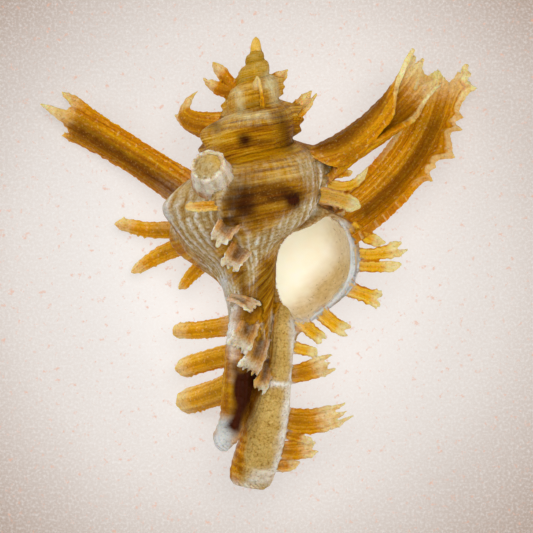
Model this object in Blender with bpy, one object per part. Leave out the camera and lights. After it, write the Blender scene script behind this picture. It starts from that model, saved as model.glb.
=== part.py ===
"""A long-fronded murex shell as one closed solid.

The body is grown the way the animal grows it: one whorl section turns about the coil axis, drops away
from the apex and widens by the same ratio each turn. Raised varices stand a third of a turn apart, the
canal hangs below, and every varix carries its row of half-open fronds. The mouth is cut back into the
last whorl. Lengths below are millimetres in the shell's own frame: +Y to the apex, +Z out of the mouth,
X = 0 and Z = 0 on the coil axis and Y = 0 at the end of the canal. The finished mesh is moved so that
the shell lies on Z = 0, mouth up, and is scaled to metres.
"""
import math

import bmesh
import bpy
import numpy as np
from mathutils import Vector

MM = 0.001

# Coil
APEX_Y = 62.1
WHORL_RATIO = 1.65
LIP_ANGLE = math.radians(-10)
LIP_SHOULDER_RADIUS = 12.3
LIP_SHOULDER_DROP = 25.3
SUTURE_DROP = 0.92
TURNS = 5
COLUMNS_PER_TURN = 36
ROWS_PER_WHORL = 7
ROWS_OF_BASE = 8
BASE_Y = 18.0

# Whorl section: distance below the shoulder and radius, both in shoulder radii
SPIRE_SECTION = ((-0.17, 0.70), (0.0, 0.94), (0.25, 1.06), (0.5, 1.11), (0.8, 1.10), (1.06, 1.03),
                 (1.2, 0.93), (1.33, 0.76), (1.45, 0.57), (1.6, 0.44), (1.85, 0.37), (2.4, 0.33),
                 (4.0, 0.30))
BODY_SECTION = ((-0.17, 0.66), (0.0, 0.95), (0.25, 1.08), (0.5, 1.13), (0.75, 1.08), (0.92, 0.95),
                (1.07, 0.77), (1.25, 0.57), (1.45, 0.47), (2.2, 0.36), (4.0, 0.30))
LIP_SECTION = ((-0.17, 0.72), (0.0, 1.02), (0.15, 1.11), (0.35, 1.15), (0.55, 1.14), (0.75, 1.06),
               (0.92, 0.90), (1.07, 0.69), (1.25, 0.50), (1.45, 0.42), (2.2, 0.35), (4.0, 0.30))

# Varices: turns before the lip, height in shoulder radii, half width in degrees
VARICES = ((0.022, 0.07, 7), (0.36, 0.27, 9), (0.64, 0.26, 10), (1.0, 0.42, 10), (1.36, 0.20, 12),
           (1.74, 0.22, 13), (2.0, 0.20, 13), (2.36, 0.22, 14), (2.73, 0.26, 14), (3.0, 0.24, 16),
           (3.36, 0.24, 16), (3.7, 0.24, 16))
VARIX_SLANT = 12
KNOB_DROP_WIDTH = 0.26
# Knobs between the varices: turns before the lip, drop, height in shoulder radii, half width in degrees
KNOBS = ((0.22, 0.32, 0.14, 13), (0.10, 0.32, 0.07, 10), (0.49, 0.36, 0.22, 13), (0.82, 0.36, 0.09, 12),
         (1.2, 0.34, 0.12, 13), (1.5, 0.36, 0.14, 13), (1.69, 0.36, 0.10, 12), (2.18, 0.36, 0.12, 14))

# Mouth: its inner edge as radius and drop from the apex, and the thickness of the outer wall
MOUTH_INNER_EDGE = ((10.0, 24.6), (8.4, 25.4), (6.6, 26.3), (4.7, 27.0), (3.3, 28.8), (2.8, 31.3),
                    (2.9, 34.0), (3.7, 36.4), (5.1, 38.5))
MOUTH_WALL = 1.1
MOUTH_OUTER_DROPS = (38.9, 38.0, 36.6, 34.6, 32.2, 29.8, 27.8, 26.2)
MOUTH_TURNS_BACK = 0.62
MOUTH_STATIONS = 20
MOUTH_OVERSHOOT = 0.03
MOUTH_END_SIZE = 0.4

# Canal tubes: centre x, y, z, half width, half depth, from the mouth down
CANAL = ((3.4, 25.6, -1.4, 1.6, 1.6), (3.9, 22.8, 0.2, 2.2, 2.2), (3.4, 19.2, 0.7, 2.1, 2.3),
         (2.7, 14.6, 0.6, 2.1, 2.3), (1.9, 10.2, 0.0, 2.6, 2.3), (0.7, 6.4, -0.8, 3.1, 2.2),
         (-0.4, 3.2, -1.9, 2.9, 1.7), (-1.3, 0.8, -2.7, 2.1, 1.1))
OLD_CANAL_FRONT = ((-0.6, 27.5, 1.0, 2.6, 2.6), (-1.5, 21.5, 1.6, 2.4, 2.2), (-2.4, 16.5, 1.9, 2.2, 1.8),
                   (-3.4, 11.5, 2.2, 2.0, 1.3), (-4.3, 8.0, 2.4, 1.9, 0.9), (-5.0, 5.6, 2.6, 1.5, 0.5))
OLD_CANAL_BACK = ((0.2, 26.0, -1.6, 2.8, 2.6), (-0.8, 20.5, -2.3, 2.8, 2.4), (-1.4, 15.5, -3.0, 2.9, 1.9),
                  (-1.9, 11.0, -4.2, 2.4, 1.4), (-2.4, 7.6, -5.6, 1.6, 0.9))
CANAL_SIDES = 12

# Fronds: base, middle and tip in the shell's frame, width at base, middle and tip, groove direction,
# half angle of the channel in degrees, wall, and number of points along the tip
TO_LIP = (-0.2, 0.0, 1.0)
TO_BACK = (0.75, 0.0, -0.66)
TO_LEFT = (-0.8, 0.1, 0.6)
FRONDS = (
    # Outer lip
    ("lip_shoulder", (12.6, 36.6, -2.6), (21.5, 46.3, -6.2), (25.9, 58.4, -13.3), 5.4, 6.2, 6.8,
     TO_LIP, 62, 1.1, 4),
    ("lip_1", (13.0, 36.2, -2.6), (15.4, 34.6, -2.7), (17.4, 33.9, -2.4), 1.5, 1.3, 1.1, TO_LIP, 60, 0.6, 1),
    ("lip_2", (13.2, 32.5, -2.6), (17.0, 32.4, -3.0), (20.6, 33.6, -3.4), 1.5, 1.3, 2.4, TO_LIP, 60, 0.6, 2),
    ("lip_3", (13.2, 30.9, -2.6), (16.5, 30.6, -3.2), (19.8, 30.8, -3.8), 1.4, 1.2, 1.2, TO_LIP, 60, 0.6, 1),
    ("lip_4", (12.2, 27.8, -2.4), (15.2, 26.6, -2.8), (17.6, 25.9, -3.4), 2.0, 1.6, 2.8, TO_LIP, 62, 0.6, 2),
    ("lip_5", (8.6, 24.6, -1.4), (10.6, 22.8, -1.8), (12.8, 21.6, -2.4), 1.9, 1.6, 2.0, TO_LIP, 62, 0.6, 2),
    ("lip_6", (5.8, 23.4, -0.6), (7.8, 21.6, -1.0), (9.5, 20.2, -1.6), 1.7, 1.4, 1.6, TO_LIP, 62, 0.6, 2),
    ("lip_7", (4.4, 19.8, 0.2), (6.6, 19.2, -0.2), (8.5, 18.8, -0.8), 1.4, 1.2, 1.1, TO_LIP, 60, 0.6, 1),
    ("lip_8", (3.6, 15.6, 0.2), (7.0, 16.3, -0.2), (10.6, 17.6, -1.0), 2.0, 2.2, 2.6, TO_LIP, 62, 0.6, 3),
    ("lip_9", (3.0, 10.2, -0.2), (7.4, 9.4, -0.8), (12.4, 10.8, -1.6), 2.6, 3.0, 2.6, TO_LIP, 64, 0.6, 3),
    ("lip_10", (2.6, 8.0, -0.6), (5.4, 7.3, -0.9), (7.8, 6.5, -1.4), 1.2, 1.0, 0.8, TO_LIP, 60, 0.6, 1),
    ("lip_11", (1.8, 5.6, -1.2), (5.4, 5.4, -1.6), (8.6, 5.9, -2.2), 1.8, 2.2, 1.8, TO_LIP, 62, 0.6, 2),
    ("lip_12", (1.4, 3.4, -1.8), (3.8, 3.3, -2.2), (5.8, 3.7, -2.6), 1.2, 1.4, 1.2, TO_LIP, 60, 0.6, 1),
    # Varix one turn before the lip
    ("upper_shoulder", (7.2, 44.6, -1.6), (15.8, 50.0, -1.4), (23.6, 57.8, -0.4), 4.6, 3.6, 6.0,
     (-0.1, -0.5, 1.0), 66, 1.0, 4),
    ("upper_1", (9.6, 43.6, -1.4), (11.6, 43.3, -1.2), (13.2, 43.6, -1.0), 1.3, 0.9, 0.6,
     TO_LIP, 60, 0.6, 1),
    ("upper_2", (10.0, 41.9, -1.4), (13.0, 41.8, -1.2), (15.2, 44.0, -1.0), 1.2, 1.0, 0.7,
     TO_LIP, 60, 0.6, 1),
    ("upper_3", (8.8, 40.4, -0.6), (11.8, 39.6, 0.6), (13.9, 38.7, 1.2), 1.9, 1.7, 1.8, TO_LIP, 70, 0.6, 1),
    # Varix behind, to the left
    ("rear_shoulder", (-7.4, 39.6, -7.6), (-18.0, 46.6, -10.6), (-27.4, 52.2, -13.4), 5.6, 4.4, 6.2,
     TO_BACK, 66, 1.1, 3),
    ("rear_1", (-9.6, 36.0, -8.8), (-14.4, 35.7, -10.8), (-19.3, 36.8, -11.8), 1.9, 1.7, 1.4,
     TO_BACK, 60, 0.8, 1),
    ("rear_2", (-9.0, 33.8, -8.6), (-13.2, 32.2, -10.8), (-17.0, 29.8, -12.0), 2.2, 1.9, 1.3,
     TO_BACK, 60, 0.8, 1),
    ("rear_3", (-6.2, 31.8, -6.6), (-9.0, 29.2, -8.8), (-10.2, 27.4, -9.4), 2.0, 1.6, 1.3,
     TO_BACK, 60, 0.7, 1),
    ("rear_4", (-2.8, 22.6, -3.2), (-7.0, 21.9, -6.0), (-11.1, 21.7, -8.6), 2.0, 1.8, 1.5,
     TO_BACK, 60, 0.8, 1),
    ("rear_5", (-2.6, 18.6, -3.2), (-6.8, 17.6, -6.4), (-10.4, 16.4, -9.8), 2.2, 2.0, 1.6,
     TO_BACK, 60, 0.8, 2),
    ("rear_6", (-2.6, 14.6, -3.8), (-6.6, 12.8, -8.8), (-10.2, 11.7, -14.7), 2.6, 2.6, 2.2,
     TO_BACK, 60, 0.9, 2),
    # Varix in front, to the left
    ("front_shoulder", (-5.4, 42.0, 8.6), (-6.2, 43.6, 11.4), (-7.0, 45.4, 13.4), 4.6, 4.2, 4.0,
     (-0.5, 0.8, 0.3), 120, 0.8, 3),
    ("front_1", (-2.4, 39.2, 9.0), (-6.2, 38.8, 11.2), (-9.4, 38.6, 11.6), 1.4, 1.2, 0.9,
     TO_LEFT, 60, 0.6, 1),
    ("front_2", (-2.4, 37.4, 8.8), (-4.2, 36.0, 11.0), (-5.6, 34.0, 12.2), 2.2, 1.9, 1.6,
     TO_LEFT, 64, 0.6, 2),
    ("front_3", (-2.4, 33.2, 5.4), (-4.2, 31.6, 8.4), (-5.0, 30.4, 9.0), 1.8, 1.5, 1.2, TO_LEFT, 60, 0.6, 1),
    ("front_4", (-2.2, 25.8, 3.2), (-1.4, 25.3, 5.0), (0.4, 25.0, 5.8), 2.0, 1.9, 1.9,
     (0.2, 0.9, 0.6), 60, 0.6, 2),
    ("front_5", (-1.8, 24.0, 3.2), (-2.6, 22.2, 5.0), (-3.2, 19.8, 5.8), 2.4, 2.2, 2.0, TO_LEFT, 62, 0.6, 3),
    ("front_6", (-1.4, 20.6, 3.0), (-1.8, 18.6, 4.8), (-1.6, 16.2, 5.4), 2.2, 2.0, 1.8, TO_LEFT, 62, 0.6, 2),
    ("front_7", (1.0, 18.2, 1.0), (0.3, 15.8, 3.6), (0.1, 13.8, 4.0), 2.0, 1.8, 1.6, TO_LEFT, 62, 0.6, 2),
    # Spire
    ("horn", (-4.6, 50.4, -2.6), (-9.6, 49.6, -6.2), (-9.4, 54.4, -8.0), 3.0, 2.2, 1.3,
     TO_BACK, 60, 0.7, 1),
    ("horn_lower", (-7.0, 50.2, -4.4), (-9.4, 49.8, -6.4), (-11.2, 49.9, -7.4), 1.8, 1.4, 1.0,
     TO_BACK, 60, 0.7, 1),
    ("spire_right", (3.4, 50.6, -0.6), (5.6, 52.0, -0.9), (8.0, 54.6, -1.0), 2.4, 2.0, 1.2,
     TO_LIP, 60, 0.7, 2),
    ("spire_front", (0.5, 51.9, 2.6), (0.3, 54.0, 4.2), (-0.1, 56.2, 4.7), 1.8, 1.5, 1.1,
     TO_LEFT, 62, 0.6, 1),
    ("spire_left", (-2.2, 54.6, -1.4), (-4.8, 55.0, -2.6), (-6.8, 56.4, -3.2), 1.8, 1.5, 1.1,
     TO_BACK, 60, 0.6, 1),
    ("spire_leaf", (-2.6, 54.6, -1.8), (-4.0, 56.6, -2.6), (-5.6, 58.6, -3.2), 1.8, 1.9, 1.2,
     TO_BACK, 50, 0.6, 1),
    ("spire_tip", (1.4, 55.4, -0.4), (2.8, 56.2, -0.6), (4.1, 57.4, -0.7), 1.9, 1.6, 1.1,
     TO_LIP, 60, 0.6, 1),
)
TIP_NOTCH = 0.09
LONG_FROND_WIDTH = 4.0
LONG_FROND_GRID = (8, 4)
SHORT_FROND_GRID = (4, 2)
THICKEST_WALL = 0.45
TIP_THINNING = 0.4

# The surface that the shell lies on, just above the lowest tips, which are worn flat on it
WELD = 0.001                         # mm, shorter edges are closed up after the cut
SURFACE_Z = -14.3


def curve_through(x, knots):
    """Value at x of a smooth curve through the knots."""
    xs, ys = np.array(knots, dtype=float).T
    slopes = np.gradient(ys, xs)
    x = np.clip(x, xs[0], xs[-1])
    k = np.clip(np.searchsorted(xs, x, side="right") - 1, 0, len(xs) - 2)
    span = xs[k + 1] - xs[k]
    t = (x - xs[k]) / span
    rise = (1 + 2 * t) * (1 - t) ** 2 * ys[k] + t * t * (3 - 2 * t) * ys[k + 1]
    return rise + span * t * (1 - t) * ((1 - t) * slopes[k] - t * slopes[k + 1])


def smooth_step(low, high, x):
    t = np.clip((x - low) / (high - low), 0, 1)
    return t * t * (3 - 2 * t)


def growth(turn):
    """Size of the shell at a growth position; 0 is the lip and one turn earlier is -1."""
    return WHORL_RATIO ** np.asarray(turn, dtype=float)


def section_radius(turn, drop):
    """Radius of the plain whorl, without varices and knobs, in shoulder radii."""
    spire = smooth_step(-0.6, -0.95, turn)
    lip = smooth_step(-0.32, -0.04, turn)
    body = (1 - spire) * (1 - lip)
    return (spire * curve_through(drop, SPIRE_SECTION) + body * curve_through(drop, BODY_SECTION)
            + lip * curve_through(drop, LIP_SECTION))


def shell_radius(turn, drop):
    """Radius of the outer surface in shoulder radii, a drop (in shoulder radii) below the shoulder."""
    turn, drop = np.broadcast_arrays(np.asarray(turn, dtype=float), np.asarray(drop, dtype=float))
    radius = section_radius(turn, drop)
    on_whorl = smooth_step(-0.17, 0.05, drop) * smooth_step(2.0, 1.1, drop)
    for before_lip, height, half_width in VARICES:
        slant = VARIX_SLANT * drop if before_lip > 0.1 else 0
        offset = (turn + before_lip) * 360 + slant
        radius = radius + height * np.exp(-(offset / half_width) ** 2) * on_whorl
    for before_lip, knob_drop, height, half_width in KNOBS:
        offset = (turn + before_lip) * 360 / half_width
        radius = radius + height * np.exp(-offset ** 2 - ((drop - knob_drop) / KNOB_DROP_WIDTH) ** 2)
    return radius


def place(turn, radius, drop_from_apex):
    """Point at a growth position, a radius and a height below the apex, all in millimetres."""
    angle = LIP_ANGLE + np.asarray(turn) * 2 * math.pi
    height = APEX_Y - drop_from_apex + 0 * angle
    return np.stack([radius * np.cos(angle), height, radius * np.sin(angle)], -1)


def mesh_object(name, points, faces, collection):
    mesh = bpy.data.meshes.new(name)
    mesh.from_pydata([tuple(MM * float(c) for c in p) for p in points], [], faces)
    mesh.validate()
    shape = bmesh.new()
    shape.from_mesh(mesh)
    bmesh.ops.recalc_face_normals(shape, faces=shape.faces)
    shape.to_mesh(mesh)
    shape.free()
    made = bpy.data.objects.new(name, mesh)
    collection.objects.link(made)
    return made


def coil(collection):
    """The spire and body whorl: rows follow the suture, with a fan at the apex and a ring below."""
    above = ROWS_PER_WHORL * (TURNS - 1)
    rows = above + ROWS_PER_WHORL + ROWS_OF_BASE + 1
    row_ratio = WHORL_RATIO ** (1 / ROWS_PER_WHORL)
    points = []
    for column in range(COLUMNS_PER_TURN + 1):
        turn = column / COLUMNS_PER_TURN - 1
        for row in range(rows):
            whorl = max(0, TURNS - 1 - row // ROWS_PER_WHORL)
            own_turn = turn - whorl
            size = growth(own_turn)
            step = row - ROWS_PER_WHORL * (TURNS - 1 - whorl)
            from_apex = SUTURE_DROP * LIP_SHOULDER_DROP * size * row_ratio ** min(step, ROWS_PER_WHORL)
            if step > ROWS_PER_WHORL:
                stretch = (APEX_Y - BASE_Y) / from_apex
                from_apex *= stretch ** ((step - ROWS_PER_WHORL) / ROWS_OF_BASE)
            drop = (from_apex - LIP_SHOULDER_DROP * size) / (LIP_SHOULDER_RADIUS * size)
            radius = float(shell_radius(own_turn, drop)) * LIP_SHOULDER_RADIUS * size
            points.append(place(turn, radius, from_apex))
    apex, base = len(points), len(points) + 1
    points += [(0.0, APEX_Y, 0.0), (0.0, BASE_Y - 1.0, 0.0)]
    # After one turn a row above the lip's suture meets the row one whorl below it
    index = {}
    for column in range(COLUMNS_PER_TURN + 1):
        for row in range(rows):
            meets = column == COLUMNS_PER_TURN and row <= above
            index[column, row] = row + ROWS_PER_WHORL if meets else column * rows + row
    faces = []
    last = rows - 1
    for column in range(COLUMNS_PER_TURN):
        for row in range(last):
            faces.append((index[column, row], index[column + 1, row], index[column + 1, row + 1],
                          index[column, row + 1]))
        faces.append((index[column, 0], index[column + 1, 0], apex))
        faces.append((index[column, last], index[column + 1, last], base))
    faces.append((index[COLUMNS_PER_TURN, last], index[0, last], base))
    # The top edge climbs one whorl in a turn, so the first rows of the first column meet the apex
    for row in range(ROWS_PER_WHORL):
        faces.append((index[0, row], index[0, row + 1], apex))
    # The end of the last whorl faces out of the mouth
    inner = [index[0, row] for row in range(above + ROWS_PER_WHORL, rows)]
    outer = [index[COLUMNS_PER_TURN, row] for row in range(above + 1, rows)]
    faces.append(tuple(inner + outer[::-1]))
    used = sorted({corner for face in faces for corner in face})
    number = {corner: position for position, corner in enumerate(used)}
    faces = [tuple(number[corner] for corner in face) for face in faces]
    return mesh_object("coil", [points[corner] for corner in used], faces, collection)


def loft(name, rings, collection):
    """Closed solid through rings of equal length, with a flat cap at each end."""
    sides = len(rings[0])
    points = [p for ring in rings for p in ring]
    faces = [tuple(range(sides)), tuple(range(len(points) - sides, len(points)))]
    for station in range(len(rings) - 1):
        for side in range(sides):
            after = (side + 1) % sides
            low, high = station * sides, (station + 1) * sides
            faces.append((low + side, low + after, high + after, high + side))
    return mesh_object(name, points, faces, collection)


def mouth(collection):
    """The hollow of the last whorl: its section shrinks along the coil as the whorl does."""
    rings = []
    for station in range(MOUTH_STATIONS):
        turn = MOUTH_OVERSHOOT - (MOUTH_TURNS_BACK + MOUTH_OVERSHOOT) * station / (MOUTH_STATIONS - 1)
        size = growth(turn)
        ring = []
        for radius, drop in MOUTH_INNER_EDGE:
            ring.append(place(turn, radius * size, drop * size))
        for drop in MOUTH_OUTER_DROPS:
            section = (drop - LIP_SHOULDER_DROP) / LIP_SHOULDER_RADIUS
            radius = float(section_radius(min(turn, 0), section)) * LIP_SHOULDER_RADIUS - MOUTH_WALL
            ring.append(place(turn, radius * size, drop * size))
        if station == MOUTH_STATIONS - 1:
            middle = sum(ring) / len(ring)
            ring = [middle + (p - middle) * MOUTH_END_SIZE for p in ring]
        rings.append(ring)
    return loft("mouth", rings, collection)


def tube(name, stations, collection):
    """Flattened tube through stations of centre, half width and half depth."""
    centres = [Vector(s[:3]) for s in stations]
    rings = []
    for number, (x, y, z, half_width, half_depth) in enumerate(stations):
        before, after = max(0, number - 1), min(len(stations) - 1, number + 1)
        along = (centres[after] - centres[before]).normalized()
        across = along.cross(Vector((0, 0, 1))).normalized()
        depth = across.cross(along).normalized()
        ring = []
        for side in range(CANAL_SIDES):
            angle = 2 * math.pi * side / CANAL_SIDES
            spot = across * (half_width * math.cos(angle)) + depth * (half_depth * math.sin(angle))
            ring.append(centres[number] + spot)
        rings.append(ring)
    return loft(name, rings, collection)


def frond(name, base, middle, tip, widths, opens, half_angle, wall, points_on_tip, collection):
    """Half-open channel bent through three points, its tip drawn out into points."""
    base, middle, tip = Vector(base), Vector(middle), Vector(tip)
    handle = 2 * middle - (base + tip) / 2
    stations, steps = LONG_FROND_GRID if widths[0] > LONG_FROND_WIDTH else SHORT_FROND_GRID
    if points_on_tip > 1:
        steps = max(steps, points_on_tip)
    steps += steps % 2
    rings = []
    for station in range(stations + 1):
        inner, outer = [], []
        for step in range(steps + 1):
            s = 2 * step / steps - 1
            notch = abs(s) if points_on_tip == 1 else (1 - math.cos(math.pi * points_on_tip * (s + 1))) / 2
            t = station / stations
            t *= 1 - TIP_NOTCH * notch * t
            centre = (1 - t) ** 2 * base + 2 * t * (1 - t) * handle + t * t * tip
            along = ((1 - t) * (handle - base) + t * (tip - handle)).normalized()
            side_way = along.cross(Vector(opens)).normalized()
            open_way = side_way.cross(along).normalized()
            width = (widths[0] * (1 - t) * (1 - 2 * t) + widths[1] * 4 * t * (1 - t)
                     + widths[2] * t * (2 * t - 1))
            half = math.radians(half_angle)
            radius = width / 2 / math.sin(min(half, math.pi / 2))
            thick = min(wall, THICKEST_WALL * width) * (1 - TIP_THINNING * t)
            for offset, line in ((-thick / 2, inner), (thick / 2, outer)):
                rim = radius + offset
                lift = radius * 0.5 - rim * math.cos(half * s)
                line.append(centre + side_way * (rim * math.sin(half * s)) + open_way * lift)
        rings.append(inner + outer[::-1])
    return loft(name, rings, collection)


def join_with(target, other, operation):
    """Boolean with one other solid, applied, after which that solid is removed."""
    change = target.modifiers.new(operation.lower(), "BOOLEAN")
    change.operation = operation
    change.solver = "EXACT"
    change.object = other
    apply_modifiers(target)
    bpy.data.objects.remove(other, do_unlink=True)


def apply_modifiers(target):
    graph = bpy.context.evaluated_depsgraph_get()
    finished = bpy.data.meshes.new_from_object(target.evaluated_get(graph))
    target.modifiers.clear()
    old = target.data
    target.data = finished
    bpy.data.meshes.remove(old)


def seat(target):
    """Set the shell on Z = 0 over its box's centre, with small worn flats where it touches the surface."""
    mesh = target.data
    shape = bmesh.new()
    shape.from_mesh(mesh)
    bmesh.ops.translate(shape, verts=shape.verts, vec=Vector((0, 0, -SURFACE_Z * MM)))
    everything = shape.verts[:] + shape.edges[:] + shape.faces[:]
    cut = bmesh.ops.bisect_plane(shape, geom=everything, plane_co=(0, 0, 0), plane_no=(0, 0, -1),
                                 clear_outer=True)
    edges = [item for item in cut["geom_cut"] if isinstance(item, bmesh.types.BMEdge)]
    bmesh.ops.holes_fill(shape, edges=edges, sides=0)
    bmesh.ops.dissolve_degenerate(shape, edges=shape.edges[:], dist=WELD * MM)
    points = np.array([vertex.co[:] for vertex in shape.verts])
    middle = (points.min(axis=0) + points.max(axis=0)) / 2
    bmesh.ops.translate(shape, verts=shape.verts, vec=Vector((-middle[0], -middle[1], 0)))
    bmesh.ops.triangulate(shape, faces=shape.faces[:])
    bmesh.ops.recalc_face_normals(shape, faces=shape.faces[:])
    shape.to_mesh(mesh)
    shape.free()


def shell_material():
    made = bpy.data.materials.new("shell")
    made.use_nodes = True
    surface = made.node_tree.nodes["Principled BSDF"]
    surface.inputs["Base Color"].default_value = (0.62, 0.40, 0.16, 1.0)
    surface.inputs["Roughness"].default_value = 0.45
    surface.inputs["Metallic"].default_value = 0.0
    return made


def main():
    for old in list(bpy.data.objects):
        bpy.data.objects.remove(old, do_unlink=True)
    parts = bpy.data.collections.new("murex_shell")
    joined = bpy.data.collections.new("joined_shapes")
    cutters = bpy.data.collections.new("cutters")
    for collection in (parts, joined, cutters):
        bpy.context.scene.collection.children.link(collection)

    shell = coil(parts)
    shell.name = "murex_shell"
    tubes = (("canal", CANAL), ("old_canal_front", OLD_CANAL_FRONT), ("old_canal_back", OLD_CANAL_BACK))
    for name, stations in tubes:
        join_with(shell, tube(name, stations, joined), "UNION")
    for name, base, middle, tip, at_base, at_middle, at_tip, opens, half_angle, wall, tips in FRONDS:
        widths = (at_base, at_middle, at_tip)
        grown = frond(name, base, middle, tip, widths, opens, half_angle, wall, tips, joined)
        join_with(shell, grown, "UNION")
    join_with(shell, mouth(cutters), "DIFFERENCE")
    seat(shell)
    shell.data.materials.append(shell_material())


main()
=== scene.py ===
"""A long-fronded murex shell lying mouth up on a pale light table, seen from straight above.

The shell is grown again at a fine scale by the rules of its CAD solid, merged into one skin, cut open at
the mouth and given fine relief. Each point keeps where it lies on its own whorl, frond or tube, and the
colours and streaks follow those directions.

Lengths are millimetres in the shell's own frame (Y from the canal's end to the apex, +Z out of the
mouth, X = Z = 0 on the coil axis) until the skin is set in the row frame.
"""

import math

import bmesh
import bpy
import numpy as np
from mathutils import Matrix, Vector, kdtree, noise


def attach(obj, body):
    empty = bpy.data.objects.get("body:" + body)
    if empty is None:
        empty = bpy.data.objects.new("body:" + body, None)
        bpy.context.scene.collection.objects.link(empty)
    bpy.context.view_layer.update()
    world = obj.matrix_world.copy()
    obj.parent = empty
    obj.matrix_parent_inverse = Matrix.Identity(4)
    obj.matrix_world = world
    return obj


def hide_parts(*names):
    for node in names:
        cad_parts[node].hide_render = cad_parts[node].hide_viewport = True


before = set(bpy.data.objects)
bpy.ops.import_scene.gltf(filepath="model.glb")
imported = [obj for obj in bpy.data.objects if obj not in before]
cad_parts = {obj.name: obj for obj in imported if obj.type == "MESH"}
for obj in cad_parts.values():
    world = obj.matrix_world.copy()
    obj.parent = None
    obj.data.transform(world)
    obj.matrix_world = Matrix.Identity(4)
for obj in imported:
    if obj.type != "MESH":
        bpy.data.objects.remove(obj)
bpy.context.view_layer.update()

MM = 0.001

# Coil
APEX_Y = 62.1
WHORL_RATIO = 1.65
LIP_ANGLE = math.radians(-10)
# Radius of the lip's shoulder and its drop below the apex
LIP_RADIUS = 12.3
LIP_DROP = 25.3
SUTURE_DROP = 0.92
TURNS = 5
COLUMNS = 360
ROWS_PER_WHORL = 60
ROWS_OF_BASE = 70
BASE_Y = 18

# Whorl section: distance below the shoulder and radius, both in shoulder radii
SPIRE_SECTION = ((-0.17, 0.7), (0, 0.94), (0.25, 1.06), (0.5, 1.11), (0.8, 1.1), (1.06, 1.03),
    (1.2, 0.93), (1.33, 0.76), (1.45, 0.57), (1.6, 0.44), (1.85, 0.37), (2.4, 0.33),
    (4, 0.3))
BODY_SECTION = ((-0.17, 0.66), (0, 0.95), (0.25, 1.08), (0.5, 1.13), (0.75, 1.08), (0.92, 0.95),
    (1.07, 0.77), (1.25, 0.57), (1.45, 0.47), (2.2, 0.36), (4, 0.3))
LIP_SECTION = ((-0.17, 0.72), (0, 1.02), (0.15, 1.11), (0.35, 1.15), (0.55, 1.14), (0.75, 1.06),
    (0.92, 0.9), (1.07, 0.69), (1.25, 0.5), (1.45, 0.42), (2.2, 0.35), (4, 0.3))

# Varices: turns before the lip, height in shoulder radii, half width in degrees
VARICES = ((0.022, 0.07, 7), (0.36, 0.27, 9), (0.64, 0.26, 10), (1, 0.42, 10), (1.38, 0.3, 11),
    (1.74, 0.22, 13), (2, 0.36, 9), (2.36, 0.4, 10), (2.73, 0.28, 12), (3, 0.36, 12),
    (3.36, 0.3, 14), (3.7, 0.24, 16))
VARIX_SLANT = 12
KNOB_DROP_WIDTH = 0.26
# Knobs between the varices: turns before the lip, drop, height in shoulder radii, half width in degrees
KNOBS = ((0.22, 0.32, 0.14, 13), (0.1, 0.32, 0.07, 10), (0.49, 0.36, 0.22, 13), (0.82, 0.36, 0.09, 12),
    (1.2, 0.34, 0.12, 13), (1.48, 0.22, 0.26, 15), (1.69, 0.36, 0.1, 12), (2.18, 0.36, 0.12, 14))

# Mouth: its inner edge as radius and drop from the apex, and the thickness of the outer wall
MOUTH_INNER_EDGE = ((10, 24.6), (8.4, 25.4), (6.6, 26.3), (4.7, 27), (3.3, 28.8), (2.8, 31.3),
    (2.9, 34), (3.7, 36.4), (5.1, 38.5))
MOUTH_WALL = 1.1
MOUTH_OUTER_DROPS = (38.9, 38, 36.6, 34.6, 32.2, 29.8, 27.8, 26.2)
MOUTH_TURNS_BACK = 0.62
MOUTH_STATIONS = 90
MOUTH_RING = 96
MOUTH_OVERSHOOT = 0.03
MOUTH_END_SIZE = 0.4
RIM_RADIUS = 0.34

# Canal tubes: centre x, y, z, half width, half depth, from the mouth down
CANAL = ((3.6, 26, -2.6, 0.7, 0.9), (3.6, 24, -0.9, 1.3, 1.7), (3.7, 21.8, 0.3, 1.6, 2.2),
    (3.5, 19, 0.7, 1.6, 2.3), (3.2, 16.6, 0.7, 1.7, 2.3), (2.7, 14.4, 0.6, 2.1, 2.3),
    (1.9, 10.2, 0, 2.6, 2.3), (0.7, 6.4, -0.8, 3.1, 2.2), (-0.3, 3.2, -1.9, 3.1, 1.7),
    (-0.8, 1.3, -2.6, 2.9, 1.1), (-1, 0.3, -2.8, 2.2, 0.7))
OLD_CANAL_FRONT = ((-0.2, 29.5, -1.6, 1.4, 1.6), (-0.8, 25.6, 0.9, 2.2, 2.4),
    (-1.5, 21.5, 1.6, 2.4, 2.2), (-2.2, 16.5, 1.9, 2.2, 1.8), (-2.9, 11.5, 2.2, 1.9, 1.2),
    (-3.4, 8.9, 2.4, 1.8, 0.8), (-4.3, 6.9, 2.6, 1.6, 0.5), (-4.4, 5.4, 2.7, 0.5, 0.2))
OLD_CANAL_BACK = ((0.2, 26, -1.6, 2.8, 2.6), (-0.8, 20.5, -2.3, 2.8, 2.4),
    (-1.4, 15.5, -3, 2.9, 1.9), (-1.9, 11, -4.2, 2.4, 1.4), (-2.4, 7.6, -5.6, 1.6, 0.9))
CANAL_SIDES = 90
CANAL_STATIONS = 140

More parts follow.
